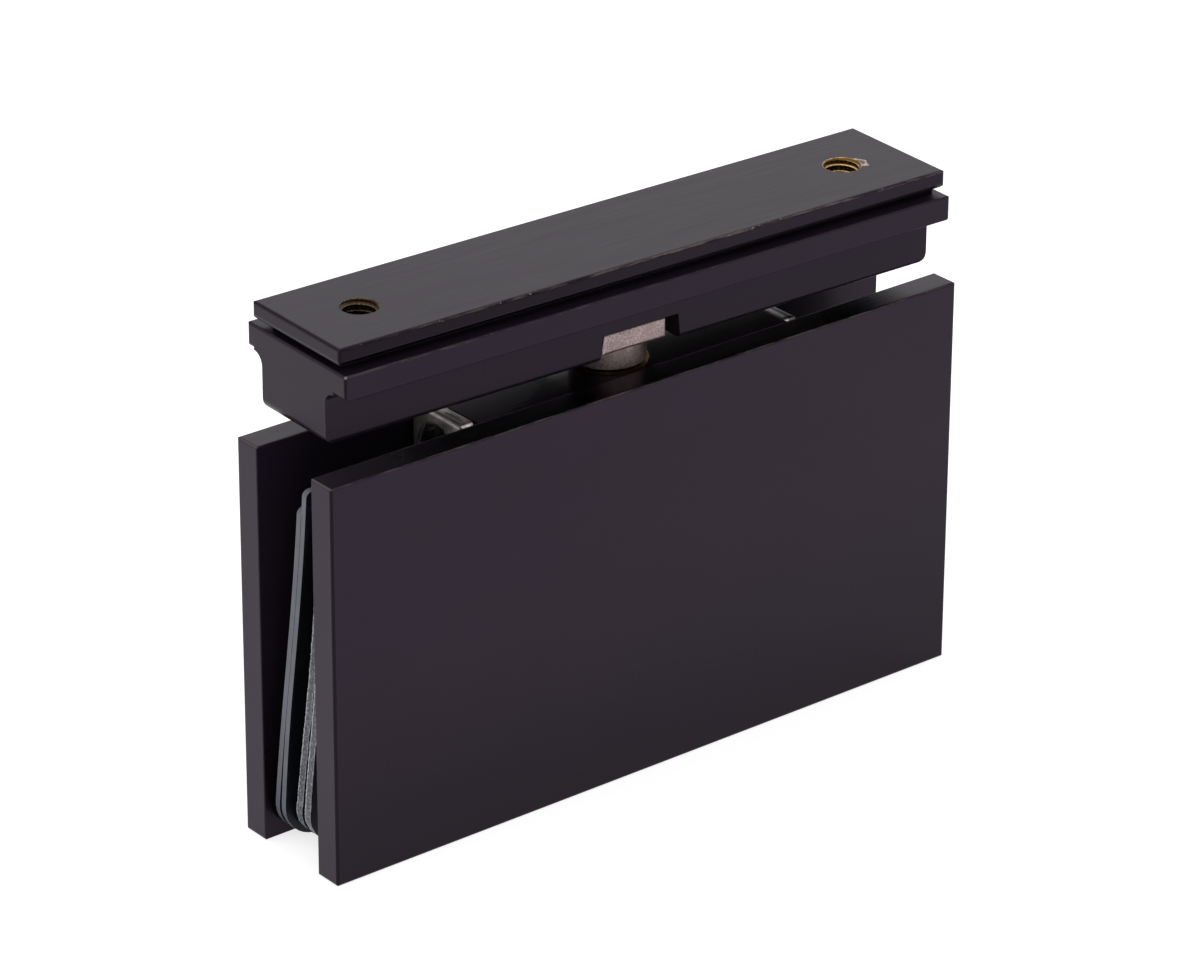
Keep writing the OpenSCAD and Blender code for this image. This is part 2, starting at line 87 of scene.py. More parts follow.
class Paint:
    """A material and the short calls that add nodes to it."""

    def __init__(self, name, turn=0.0):
        self.material = bpy.data.materials.new(name)
        self.material.use_nodes = True
        self.tree = self.material.node_tree
        self.shader = self.tree.nodes["Principled BSDF"]
        self.turn = turn

    def feed(self, socket, value):
        """Links a socket to an output, or sets its plain value."""
        if isinstance(value, bpy.types.NodeSocket):
            self.tree.links.new(value, socket)
        elif isinstance(value, tuple) and socket.type == "RGBA":
            socket.default_value = (*value, 1.0)
        else:
            socket.default_value = value

    def set(self, **values):
        """Sets the shader's sockets, with _ for a space in their names."""
        for name, value in values.items():
            self.feed(self.shader.inputs[name.replace("_", " ")], value)

    def place(self, size):
        """Coordinates in the piece's own frame, counted in steps of size millimetres."""
        coordinates = self.tree.nodes.new("ShaderNodeTexCoord")
        mapping = self.tree.nodes.new("ShaderNodeMapping")
        mapping.vector_type = "TEXTURE"
        mapping.inputs["Rotation"].default_value = (0.0, 0.0, self.turn)
        mapping.inputs["Scale"].default_value = tuple(s * MM for s in size)
        self.tree.links.new(coordinates.outputs["Object"], mapping.inputs["Vector"])
        return mapping.outputs["Vector"]

    def noise(self, size, detail=4.0, roughness=0.55):
        """Cloudy noise from 0 to 1, with features of about size millimetres."""
        node = self.tree.nodes.new("ShaderNodeTexNoise")
        node.inputs["Scale"].default_value = 1.0
        node.inputs["Detail"].default_value = detail
        node.inputs["Roughness"].default_value = roughness
        self.tree.links.new(self.place(size), node.inputs["Vector"])
        return node.outputs["Fac"]

    def range(self, value, low, high, to_low=0.0, to_high=1.0):
        """Maps low..high to to_low..to_high, held at both ends."""
        node = self.tree.nodes.new("ShaderNodeMapRange")
        node.interpolation_type = "SMOOTHSTEP"
        self.feed(node.inputs["Value"], value)
        for name, number in zip(("From Min", "From Max", "To Min", "To Max"), (low, high, to_low, to_high)):
            node.inputs[name].default_value = number
        return node.outputs["Result"]

    def math(self, operation, a, b):
        """One arithmetic step."""
        node = self.tree.nodes.new("ShaderNodeMath")
        node.operation = operation
        self.feed(node.inputs[0], a)
        self.feed(node.inputs[1], b)
        return node.outputs["Value"]

    def magnitude(self, value):
        """A value without its sign."""
        return self.math("ABSOLUTE", value, 0.0)

    def times(self, *factors):
        """Product of several values."""
        result = factors[0]
        for factor in factors[1:]:
            result = self.math("MULTIPLY", result, factor)
        return result

    def most(self, *values):
        """Largest of several values."""
        result = values[0]
        for value in values[1:]:
            result = self.math("MAXIMUM", result, value)
        return result

    def mix(self, factor, a, b):
        """Blend of two colours."""
        node = self.tree.nodes.new("ShaderNodeMix")
        node.data_type = "RGBA"
        self.feed(node.inputs["Factor"], factor)
        self.feed(node.inputs["A"], a)
        self.feed(node.inputs["B"], b)
        return node.outputs["Result"]

    def scaled(self, colour, factor):
        """A colour with its brightness multiplied."""
        node = self.tree.nodes.new("ShaderNodeVectorMath")
        node.operation = "SCALE"
        self.feed(node.inputs["Vector"], colour)
        self.feed(node.inputs["Scale"], factor)
        return node.outputs["Vector"]

    def distance(self, centre, axes=(1.0, 1.0, 1.0)):
        """Distance in millimetres from a point, with each axis weighted, in the piece's own frame."""
        offset = self.tree.nodes.new("ShaderNodeVectorMath")
        offset.operation = "SUBTRACT"
        self.tree.links.new(self.place((1.0, 1.0, 1.0)), offset.inputs[0])
        offset.inputs[1].default_value = centre
        weighted = self.tree.nodes.new("ShaderNodeVectorMath")
        weighted.operation = "MULTIPLY"
        self.tree.links.new(offset.outputs["Vector"], weighted.inputs[0])
        weighted.inputs[1].default_value = axes
        length = self.tree.nodes.new("ShaderNodeVectorMath")
        length.operation = "LENGTH"
        self.tree.links.new(weighted.outputs["Vector"], length.inputs[0])
        return length.outputs["Value"]

    def along(self, axis):
        """One coordinate in millimetres in the piece's own frame."""
        split = self.tree.nodes.new("ShaderNodeSeparateXYZ")
        self.tree.links.new(self.place((1.0, 1.0, 1.0)), split.inputs["Vector"])
        return split.outputs[axis]

    def stored(self, name):
        """A number that the mesh stores with its points."""
        node = self.tree.nodes.new("ShaderNodeAttribute")
        node.attribute_name = name
        return node.outputs["Fac"]

    def bump(self, height, strength, depth):
        """Fine relief of depth millimetres from a height from 0 to 1."""
        node = self.tree.nodes.new("ShaderNodeBump")
        node.inputs["Strength"].default_value = strength
        node.inputs["Distance"].default_value = depth * MM
        self.feed(node.inputs["Height"], height)
        self.feed(self.shader.inputs["Normal"], node.outputs["Normal"])


# Sizes that the finishes follow, in millimetres; those of the mount are in its own frame

# Plates: left end, top, outer and inner faces, and the rounding of the outer edges
PLATE_LEFT = -60.0
PLATE_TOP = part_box("front_plate")[1].z / MM
PLATE_OUT = 11.5
PLATE_IN = 6.7
PLATE_EDGE_R = 0.4

# Core block: half its length, and where its top is fully in painted shade under the mount
CORE_HALF = 30.0
CORE_SHADE_X = -9.0

# Adjusters: height of their axis and radius inside their rim
ADJUSTER_Z = PLATE_TOP - 6.0
ADJUSTER_RIM = 3.95

# Stain on the left end plate: its centre, and one over its half widths
STAIN = (-31.1, -2.5, PLATE_TOP)
STAIN_SHARES = (1.0 / 0.5, 1.0 / 2.6, 0.0)

# Pin: tops of its collar and its head
COLLAR_TOP = 69.35
HEAD_TOP = 72.65

# Left end of the mount
MOUNT_LEFT = -56.25

# Bar: top, thickness, front, and the rounding of its top edge and its corners
BAR_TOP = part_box("mount_bar")[1].z / MM
BAR_T = 3.0
BAR_FRONT = -11.0
BAR_ROUND = 0.5
BAR_EDGE_R = 0.28

# Tapped holes: place along the bar, radius of the thread's crests and radius of the opened hole
HOLE_X = 45.0
TAP_R = 2.5
RIM_R = 3.06

# Chip beside the right hole: its centre, and one over its half widths
CHIP = (HOLE_X + 3.0, -0.75, BAR_TOP)
CHIP_SHARES = (1.0 / 0.95, 1.0 / 1.5, 0.0)

# Flange of the carrier: top, foot, front and the rounding of its corners
FLANGE_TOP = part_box("pivot_carrier")[1].z / MM
FLANGE_FOOT = FLANGE_TOP - 4.0
FLANGE_FRONT = -12.4
FLANGE_EDGE_R = 0.28

# Axes across an edge that runs along the part, upright, or across the part
ALONG_EDGE = (0.0, 1.0, 1.0)
UPRIGHT_EDGE = (1.0, 1.0, 0.0)
END_EDGE = (1.0, 0.0, 1.0)

# Depths between which a face fades into the body behind it
SKIN = (0.1, 0.3)

# Part of the noise's range that most of its values lie in
SPAN = (0.3, 0.7)


# Black coating

COAT_TINT = (0.93, 0.64, 0.97)
COAT_ROUGHNESS = (0.30, 0.37)
BRUSH_SIZE = (14.0, 0.3, 0.3)
CLOUD_SIZE = (20.0, 12.0, 12.0)
GRAIN_SIZE = (0.3, 0.3, 0.3)

# Share of the roughness that is left where the coating's painted shade is darkest
SMOOTH_SHARE = 0.55

# Sheen of the coating on each piece
CLAMP_SHEEN = 0.185
CORE_SHEEN = 0.06
BAR_SHEEN = 0.15
CARRIER_SHEEN = 0.16

# Shares of the coating's brightness that paint shade on rounded edges, under the mount, at the foot of the
# plates and on the web, and that paint light on the plates' left ends and at the left end and the rear of
# the core block
EDGE_SHADE = 0.05
UNDER_SHADE = 0.1
FOOT_SHADE = 0.3
END_LIGHT = 1.65
WEB_SHADE = 0.65
CORE_END_LIGHT = 6.0
CORE_REAR_LIGHT = 1.3

# Height up to which the plates carry painted shade, and distances from the pivot where the painted shade on
# their tops fades out
LOW_Z = 40.0
PALE_X = (36.0, 56.0)

# Painted shade on the bar's front, with the places along the bar that it runs between
FRONT_SHADE = (0.95, 0.2)
FRONT_SHADE_X = (-40.0, 40.0)

# Depth below the flange over which the painted shade on the web fades in
WEB_FADE = 1.0


def black_coat(name, sheen, light_and_shade, shade_lines, turn=0.0, wear_and_highlight=None):
    """Satin black coating with painted light and shade, black painted shade lines, and bare brass for wear
    and for painted highlights.
    """
    paint = Paint(name, turn)
    brushed = paint.noise(BRUSH_SIZE, detail=3.0)
    cloudy = paint.noise(CLOUD_SIZE, detail=3.0)
    grain = paint.noise(GRAIN_SIZE, detail=3.0)
    colour = paint.mix(paint.range(cloudy, *SPAN), shade(COAT, 0.92), shade(COAT, 1.08))
    colour = paint.mix(paint.range(grain, 0.35, 0.7, 0.0, 0.3), colour, shade(COAT, 1.3))
    # Painted light and shade scale the coating's colour
    share = light_and_shade(paint)
    colour = paint.scaled(colour, share)
    roughness = paint.range(brushed, *SPAN, *COAT_ROUGHNESS)
    roughness = paint.times(roughness, paint.range(share, UNDER_SHADE, 0.9, SMOOTH_SHARE, 1.0))
    # Painted shade lines blacken the colour and, being metallic, its reflection too
    metallic = shade_lines(paint)
    colour = paint.mix(metallic, colour, CREASE_SHADE)
    if wear_and_highlight:
        spots = wear_and_highlight(paint)
        colour = paint.mix(spots, colour, WORN_BRASS_AND_HIGHLIGHT)
        roughness = paint.times(roughness, paint.range(spots, 0.0, 1.0, 1.0, 1.2))
        metallic = paint.most(metallic, spots)
    paint.set(Base_Color=colour, Roughness=roughness, Metallic=metallic)
    paint.set(Specular_IOR_Level=sheen, Specular_Tint=COAT_TINT)
    relief = paint.math("ADD", paint.times(brushed, 0.3), paint.times(grain, 0.7))
    paint.bump(relief, 0.2, 0.01)
    return paint.material


def on_face(paint, axis, place, at=1.0, away=0.0):
    """Value on a piece's low face, at a place along an axis, and away from it."""
    return paint.range(paint.along(axis), place + SKIN[0], place + SKIN[1], at, away)


def edge_shade(paint, place, axes, radius):
    """Factor that paints shade on a rounded edge, standing in for the dark surroundings that it reflects;
    axes are those across the edge.
    """
    return paint.range(paint.distance(place, axes), 0.8 * radius, 1.1 * radius, EDGE_SHADE, 1.0)


def plate_light_and_shade(side):
    """Painted light on a plate's left end, and painted shade on its top under the mount, at its foot and on
    its outer left corner; side is -1 or 1.
    """
    def light_and_shade(paint):
        end = on_face(paint, "X", PLATE_LEFT, END_LIGHT, 1.0)
        top = paint.range(paint.along("Z"), PLATE_TOP - SKIN[1], PLATE_TOP - SKIN[0])
        under = paint.range(paint.magnitude(paint.along("X")), *PALE_X, 1.0 - UNDER_SHADE, 0.0)
        shaded = paint.math("SUBTRACT", 1.0, paint.times(top, under))
        corner = edge_shade(paint, (PLATE_LEFT, side * PLATE_OUT, 0.0), UPRIGHT_EDGE, PLATE_EDGE_R)
        low = paint.range(paint.along("Z"), 0.0, LOW_Z, FOOT_SHADE, 1.0)
        face = paint.most(paint.times(low, shaded), paint.range(end, 1.0, END_LIGHT))
        return paint.times(face, end, corner)
    return light_and_shade


def core_light_and_shade(paint):
    """Painted light at the core block's rear left end, and painted shade over the rest of it under the
    mount.
    """
    left = paint.range(paint.along("X"), -CORE_HALF, CORE_SHADE_X, CORE_END_LIGHT, UNDER_SHADE)
    rear = paint.range(paint.along("Y"), -PLATE_IN, PLATE_IN, UNDER_SHADE, CORE_REAR_LIGHT)
    return paint.most(paint.times(left, rear), UNDER_SHADE)


def bar_shade(paint):
    """Painted shade on the bar: on its front left corner, on the top edge of its left end and on its front.
    """
    corner = edge_shade(paint, (MOUNT_LEFT, BAR_FRONT, 0.0), UPRIGHT_EDGE, BAR_EDGE_R)
    end = edge_shade(paint, (MOUNT_LEFT, 0.0, BAR_TOP), END_EDGE, BAR_EDGE_R)
    front = on_face(paint, "Y", BAR_FRONT)
    shaded = paint.range(paint.along("X"), *FRONT_SHADE_X, *FRONT_SHADE)
    return paint.times(corner, end, paint.math("SUBTRACT", 1.0, paint.times(front, shaded)))


def carrier_shade(paint):
    """Painted shade on the carrier: on the flange's front left corner and on the web below the flange."""
    corner = edge_shade(paint, (MOUNT_LEFT, FLANGE_FRONT, 0.0), UPRIGHT_EDGE, FLANGE_EDGE_R)
    web = paint.range(paint.along("Z"), FLANGE_FOOT - WEB_FADE, FLANGE_FOOT, WEB_SHADE, 1.0)
    end = on_face(paint, "X", MOUNT_LEFT)
    return paint.times(corner, paint.most(web, end))


# Painted shade lines in joints and under edges

# Strengths of the painted shade in the joints, under the bar and under the flange
JOINT_SHADE = 0.9
UNDER_BAR_SHADE = 0.5
UNDER_FLANGE_SHADE = 0.9

# Distances over which the lines fade: across a joint, below its top, past its end and round an edge
JOINT_WIDTH = (0.15, 0.3)
JOINT_DEPTH = (0.4, 0.3)
JOINT_END = 0.5
LINE_WIDTH = (0.2, 0.28)
LINE_INSET = 0.1


def joint_lines(paint):
    """Painted shade in the joints between the core block and the plates, along their tops."""
    across = paint.math("SUBTRACT", paint.magnitude(paint.along("Y")), PLATE_IN)
    near = paint.range(paint.magnitude(across), *JOINT_WIDTH, JOINT_SHADE, 0.0)
    top = paint.range(paint.along("Z"), PLATE_TOP - JOINT_DEPTH[0], PLATE_TOP - JOINT_DEPTH[1])
    inside = paint.range(paint.magnitude(paint.along("X")), CORE_HALF, CORE_HALF + JOINT_END, 1.0, 0.0)
    return paint.times(near, top, inside)


def lower_edge(front, foot, strength):
    """Painted shade along the lower front edge of a piece of the mount, above a gap or the web."""
    def line(paint):
        near = paint.distance((0.0, front + LINE_INSET, foot), ALONG_EDGE)
        return paint.range(near, *LINE_WIDTH, strength, 0.0)
    return line


# Wear, and painted highlights along the plates' edges

# Strengths on the plates' outer, inner and end edges, the bar's edge, the flange's edge and its corner
# On the plates these lines of wear are also painted highlights on their edges
OUTER_WEAR_HIGHLIGHT = 0.1
INNER_WEAR_HIGHLIGHT = 0.14
END_WEAR_HIGHLIGHT = 0.12
BAR_WEAR = 0.18
FLANGE_WEAR = 0.08
TIP_WEAR = 0.4

# Sides of the tapped holes, with the wear of their rims
RIM_WEAR = ((-1, 0.05), (1, 0.3))

# Places along the part between which wear grows: all along, to the right and to the left
ALL_ALONG = (-200.0, -100.0)
TO_RIGHT = (-80.0, 10.0)
TO_LEFT = (60.0, -60.0)

# Share of an edge's rounding that its line of wear and painted highlight is set in
INSET_SHARE = 0.3

# Sizes of rubbed streaks, bare specks and the chip's ragged outline
STREAK_SIZE = (5.0, 0.5, 0.5)
SPECK_SIZE = (0.6, 0.6, 0.6)
RAGGED_SIZE = (0.7, 0.7, 0.7)


def edge_wear_and_highlight(paint, y, z, width, growth):
    """Broken bare line along an edge that runs along the part, growing between two places; on the plates it
    also paints a highlight.
    """
    near = paint.range(paint.distance((0.0, y, z), ALONG_EDGE), 0.3 * width, width, 1.0, 0.0)
    rubbed = paint.range(paint.noise(STREAK_SIZE, detail=5.0, roughness=0.7), 0.42, 0.62)
    specks = paint.range(paint.noise(SPECK_SIZE), 0.64, 0.7, 0.0, 3.0)
    share = paint.range(paint.along("X"), *growth)
    return paint.times(near, paint.most(rubbed, specks), share)


def plate_wear_and_highlight(side):
    """Faint rubbed lines along the top edges of a plate, which also paint the highlights of these edges;
    side is -1 or 1.
    """
    def wear(paint):
        inset = INSET_SHARE * PLATE_EDGE_R
        outer = edge_wear_and_highlight(paint, side * (PLATE_OUT - inset), PLATE_TOP - inset, 0.22, ALL_ALONG)
        inner = edge_wear_and_highlight(paint, side * PLATE_IN, PLATE_TOP, 0.2, ALL_ALONG)
        end = paint.distance((PLATE_LEFT + inset, 0.0, PLATE_TOP - inset), END_EDGE)
        end = paint.range(end, 0.1, 0.2, END_WEAR_HIGHLIGHT, 0.0)
        return paint.most(paint.times(outer, OUTER_WEAR_HIGHLIGHT), paint.times(inner, INNER_WEAR_HIGHLIGHT), end)
    return wear


def bar_wear(paint):
    """Rubbed top edge of the bar, the rims of its holes and a chip beside the right one."""
    inset = INSET_SHARE * BAR_ROUND
    line = edge_wear_and_highlight(paint, BAR_FRONT + inset, BAR_TOP - inset, 0.3, TO_RIGHT)
    ragged = paint.noise(RAGGED_SIZE, detail=5.0, roughness=0.65)
    reach = paint.math("ADD", paint.distance(CHIP, CHIP_SHARES), paint.times(ragged, 1.4))
    chip = paint.times(paint.range(reach, 1.65, 1.75, 1.0, 0.0), paint.range(reach, 1.3, 1.5, 0.15, 1.0))
    rims = []
    for side, strength in RIM_WEAR:
        radius = paint.distance((side * HOLE_X, 0.0, BAR_TOP), UPRIGHT_EDGE)
        radius = paint.math("ADD", radius, paint.times(ragged, 0.2))
        rims.append(paint.range(radius, RIM_R + 0.08, RIM_R + 0.16, strength, 0.0))
    return paint.most(paint.times(line, BAR_WEAR), chip, *rims)


def carrier_wear(paint):
    """Bare front corner of the flange and faint nicks along its top edge."""
    corner = paint.distance((MOUNT_LEFT + 0.15, FLANGE_FRONT + 0.15, FLANGE_TOP - 0.1))
    tip = paint.range(corner, 0.18, 0.32, TIP_WEAR, 0.0)
    line = edge_wear_and_highlight(paint, FLANGE_FRONT + 0.1, FLANGE_TOP - 0.1, 0.3, TO_LEFT)
    return paint.most(tip, paint.times(line, FLANGE_WEAR))


# Bare metals

BLOTCH_SIZE = (2.2, 2.2, 2.2)
PIT_SIZE = (0.55, 0.55, 0.35)
CHATTER_SIZE = (0.5, 0.5, 0.3)


def metal(name, colour, rough, grain, turn=0.0, contrast=0.3, relief=0.02, darkened=None):
    """Bare metal with streaks of grain millimetres and uneven colour; darkened gives places painted darker,
    for shade, pits or a stain.
    """
    paint = Paint(name, turn)
    streaks = paint.noise(grain, detail=4.0, roughness=0.65)
    blotches = paint.noise(BLOTCH_SIZE, detail=4.0)
    pale = shade(colour, 1.0 + contrast)
    dark = shade(colour, 1.0 - contrast)
    base = paint.mix(paint.range(streaks, *SPAN), dark, pale)
    base = paint.mix(paint.range(blotches, 0.35, 0.8, 0.0, 0.4), base, shade(colour, 0.7))
    if darkened:
        base = paint.mix(darkened(paint), base, shade(colour, 0.1))
    paint.set(Base_Color=base, Metallic=1.0)
    paint.set(Roughness=paint.range(blotches, *SPAN, rough - 0.06, rough + 0.08))
    paint.bump(streaks, 0.4, relief)
    return paint.material


def pin_shade_and_pits(paint):
    """Painted shade on the collar, and dark nicks near the upper left edge of the head."""
    collar_shade = paint.range(paint.along("Z"), COLLAR_TOP - 0.2, COLLAR_TOP, 0.25, 0.0)
    pits = paint.range(paint.noise(PIT_SIZE, detail=5.0, roughness=0.7), 0.56, 0.62)
    high = paint.range(paint.along("Z"), HEAD_TOP - 1.1, HEAD_TOP - 0.4)
    left = paint.range(paint.along("X"), 1.0, -2.5, 0.25, 1.0)
    return paint.most(collar_shade, paint.times(pits, high, left, 0.85))


def washer_shade(paint):
    """Painted shade on the washer, which leaves the brass bright only at the right of the collar."""
    return paint.range(paint.along("X"), 1.5, 4.0, 1.0, 0.0)


def adjuster_shade(paint):
    """Painted shade in an adjuster's recess, which leaves only its rim bright."""
    radius = paint.distance((0.0, 0.0, ADJUSTER_Z), ALONG_EDGE)
    return paint.range(radius, ADJUSTER_RIM - 0.1, ADJUSTER_RIM + 0.1, 0.85, 0.0)


def left_plate_rear_and_stain(paint):
    """Darker towards the rear of the left end plate, and an oil stain on its top."""
    rear = paint.range(paint.along("Y"), 0.0, 6.0, 0.0, 0.75)
    reach = paint.math("ADD", paint.distance(STAIN, STAIN_SHARES), paint.noise(SPECK_SIZE))
    return paint.most(rear, paint.range(reach, 1.2, 1.5, 0.8, 0.0))


def right_plate_darkening(paint):
    """Darkens the right end plate except along its inner edge."""
    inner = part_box("end_plate_right")[0].x / MM
    return paint.range(paint.along("X"), inner + 0.7, inner + 1.0, 0.0, 0.9)


def thread_brass(name, side, crest_colour, root_colour, broken):
    """Brass thread with painted highlights on its crests and rim and painted shade in its roots; broken
    sets how much of the crests stays bright.
    """
    paint = Paint(name, SWING)
    chatter = paint.noise(CHATTER_SIZE, detail=4.0, roughness=0.65)
    radius = paint.distance((side * HOLE_X, 0.0, 0.0), UPRIGHT_EDGE)
    crest = paint.range(radius, TAP_R + 0.08, TAP_R + 0.22, 1.0, 0.0)
    kept = paint.range(chatter, broken, broken + 0.1, 0.15, 1.0)
    rim = paint.range(paint.along("Z"), BAR_TOP - 0.08, BAR_TOP - 0.03)
    scuffed = paint.range(chatter, 0.42, 0.58, 0.2, 1.0)
    # Painted highlight on the crests and the rim
    bright = paint.most(paint.times(crest, kept), paint.times(rim, scuffed))
    colour = paint.mix(paint.range(chatter, *SPAN), shade(crest_colour, 0.7), shade(crest_colour, 1.2))
    paint.set(Base_Color=paint.mix(bright, root_colour, colour), Metallic=1.0)
    paint.set(Roughness=paint.range(chatter, *SPAN, 0.22, 0.4))
    paint.bump(chatter, 0.3, 0.02)
    return paint.material


# Fibre and vinyl

FELT_SIZE = (0.3, 0.3, 0.3)
FACE_HAZE_SIZE = (6.0, 6.0, 9.0)
SCUFF_SIZE = (0.6, 0.6, 3.0)
EDGE_HAZE_SIZE = (3.0, 3.0, 5.0)
TORN_SIZE = (0.35, 0.35, 0.4)

# Name of the place across a gasket's edge that its mesh stores
ACROSS = "across"


def fibre(name, colour):
    """Matt black fibre sheet."""
    paint = Paint(name, SWING)
    felt = paint.noise(FELT_SIZE, detail=5.0)
    paint.set(Base_Color=paint.mix(felt, shade(colour, 0.6), shade(colour, 1.6)), Roughness=0.9)
    paint.set(Specular_IOR_Level=0.1)
    paint.bump(felt, 0.5, 0.05)
    return paint.material


def vinyl_face(name, colour, rough):
    """Broad face of a vinyl sheet, painted dark for the shaded slot that would show through it."""
    paint = Paint(name)
    haze = paint.noise(FACE_HAZE_SIZE, detail=3.0)
    scuffs = paint.noise(SCUFF_SIZE, detail=4.0)
    paint.set(Base_Color=paint.mix(paint.range(haze, *SPAN), shade(colour, 0.8), shade(colour, 1.2)))
    paint.set(Roughness=paint.range(scuffs, *SPAN, rough, rough + 0.12), Specular_IOR_Level=0.15)
    paint.bump(scuffs, 0.2, 0.01)
    return paint.material


def vinyl_edge(name, colour, speckle, border):
    """Cut edge of a vinyl sheet: speckle is the share of torn grains, border the strength of painted
    highlights on its two rims.
    """
    paint = Paint(name)
    haze = paint.noise(EDGE_HAZE_SIZE, detail=3.0)
    grains = paint.noise(TORN_SIZE, detail=3.0, roughness=0.6)
    across = paint.stored(ACROSS)
    rims = paint.most(paint.range(across, 0.06, 0.2, 1.0, 0.0), paint.range(across, 0.86, 0.96, 0.0, 0.6))
    glints = paint.times(rims, paint.range(grains, 0.35, 0.55, 0.3, 1.0), border)
    base = paint.mix(paint.range(haze, *SPAN), shade(colour, 0.88), shade(colour, 1.12))
    base = paint.mix(paint.times(paint.range(grains, 0.52, 0.6), speckle), base, VINYL_GLINT)
    base = paint.mix(glints, base, VINYL_GLINT)
    base = paint.mix(paint.times(paint.range(grains, 0.45, 0.38), speckle), base, shade(colour, 0.4))
    paint.set(Base_Color=base, Roughness=paint.range(grains, *SPAN, 0.35, 0.55))
    paint.set(Specular_IOR_Level=0.3)
    paint.bump(grains, 0.2 + 0.5 * speckle, 0.01 + 0.1 * speckle)
    return paint.material


# Finishes of the CAD nodes

# Streaks in the metals, in millimetres
FINE_GRAIN = (0.3, 0.3, 0.3)
PLATE_GRAIN = (0.3, 4.0, 4.0)
TURNED_GRAIN = (2.0, 0.2, 0.2)
GROUND_GRAIN = (0.08, 2.0, 2.0)
WIRE_GRAIN = (0.2, 0.2, 0.2)
PIN_GRAIN = (0.26, 0.26, 0.36)
BRONZE_GRAIN = (0.5, 0.5, 0.5)
WASHER_GRAIN = (0.4, 0.4, 0.4)


def finish_node(name, material):
    """Gives a CAD node its material."""
    for slot in nodes[name].material_slots:
        slot.material = material


def nickel(name, rough, darkened):
    """Bright nickel plate with streaks across the part."""
    return metal(name, NICKEL, rough, PLATE_GRAIN, contrast=0.4, relief=0.01, darkened=darkened)


bar_gap_shade = lower_edge(BAR_FRONT, BAR_TOP - BAR_T, UNDER_BAR_SHADE)
flange_foot_shade = lower_edge(FLANGE_FRONT, FLANGE_FOOT, UNDER_FLANGE_SHADE)
bar_coat = black_coat("coat_bar", BAR_SHEEN, bar_shade, bar_gap_shade, SWING, bar_wear)
carrier_coat = black_coat("coat_carrier", CARRIER_SHEEN, carrier_shade, flange_foot_shade, SWING, carrier_wear)
pin_metal = metal(
    "pin_steel", PIN_STEEL, 0.42, PIN_GRAIN, turn=SWING, contrast=0.42, relief=0.03, darkened=pin_shade_and_pits
)
screw_metal = metal("screw_steel", DARK_STEEL, 0.38, FINE_GRAIN)
left_nickel = nickel("bright_nickel", 0.42, left_plate_rear_and_stain)
right_nickel = nickel("darkened_nickel", 0.35, right_plate_darkening)
adjuster_metal = metal("adjuster_steel", ADJUSTER_STEEL, 0.3, TURNED_GRAIN, darkened=adjuster_shade)
plunger_metal = metal("plunger_steel", GREY_STEEL, 0.3, GROUND_GRAIN)
spring_metal = metal("spring_steel", DARK_STEEL, 0.35, WIRE_GRAIN)

for plate, side in (("front_plate", -1), ("back_plate", 1)):
    coat = black_coat("coat_" + plate, CLAMP_SHEEN, plate_light_and_shade(side), joint_lines, wear_and_highlight=plate_wear_and_highlight(side))
    finish_node(plate, coat)
finish_node("core_block", black_coat("coat_core", CORE_SHEEN, core_light_and_shade, joint_lines))
finish_node("pivot_carrier", carrier_coat)
finish_node("pivot_pin", pin_metal)
finish_node("pin_bush", metal("bush_bronze", BRONZE, 0.45, BRONZE_GRAIN))
finish_node("thrust_washer", metal("washer_brass", WASHER_BRASS, 0.25, WASHER_GRAIN, darkened=washer_shade))
for screw in ("end_plate_screws", "plate_screws", "pin_screw", "retaining_ring"):
    finish_node(screw, screw_metal)
for side, plate_metal in (("left", left_nickel), ("right", right_nickel)):
    finish_node("end_plate_" + side, plate_metal)
    finish_node("adjuster_" + side, adjuster_metal)
    finish_node("plunger_" + side, plunger_metal)
    finish_node("spring_" + side, spring_metal)


# Helpers for new pieces


def add_piece(name, mesh, materials, body):
    """Puts a mesh into the scene as a piece that rides on a CAD body."""
    for material in materials:
        mesh.materials.append(material)
    piece = bpy.data.objects.new(name, mesh)
    bpy.context.scene.collection.objects.link(piece)
    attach(piece, body)
    return piece


def node_mesh(name):
    """Copy of a CAD node's mesh, in its place and without materials."""
    node = nodes[name]
    mesh = node.data.copy()
    mesh.materials.clear()
    mesh.transform(node.matrix_world)
    return mesh


def finished_mesh(mesh_data, name, sharp_angle=35.0):
    """Mesh from a bmesh, with its faces turned outwards and shaded smoothly up to an angle."""
    bmesh.ops.recalc_face_normals(mesh_data, faces=mesh_data.faces[:])
    mesh = bpy.data.meshes.new(name)
    mesh_data.to_mesh(mesh)
    mesh_data.free()
    for polygon in mesh.polygons:
        polygon.use_smooth = True
    mesh.set_sharp_from_angle(angle=math.radians(sharp_angle))
    return mesh


# Bar with threads in its two tapped holes

# Countersink, outer radius of a lining, roots and pitch of the thread
SINK = 0.5
LINING_R = 3.03
ROOT_R = 2.98
PITCH = 1.0

# Shares of half a pitch that a crest and a flank take
CREST_SHARE = 0.15
FLANK_SHARE = 0.65

# Places where the threads start, in turns, and how much of their crests' painted highlight is broken up
LEFT_LEAD = 0.52
RIGHT_LEAD = 0.77
LEFT_BROKEN = 0.5
RIGHT_BROKEN = 0.25

# Fineness of a lining round the hole and up it
TURN_STEPS = 96
RISE_STEPS = 75

# Shim: how much longer its right end is, and the distance from the hole where that end begins
SHIM_REACH = 1.5
SHIM_HOLE_ROOM = 6.0


def hole_axis(side):
    """Place of a hole's axis, in metres; side is -1 or 1."""
    return Vector((side * HOLE_X * math.cos(SWING), side * HOLE_X * math.sin(SWING), 0.0)) * MM


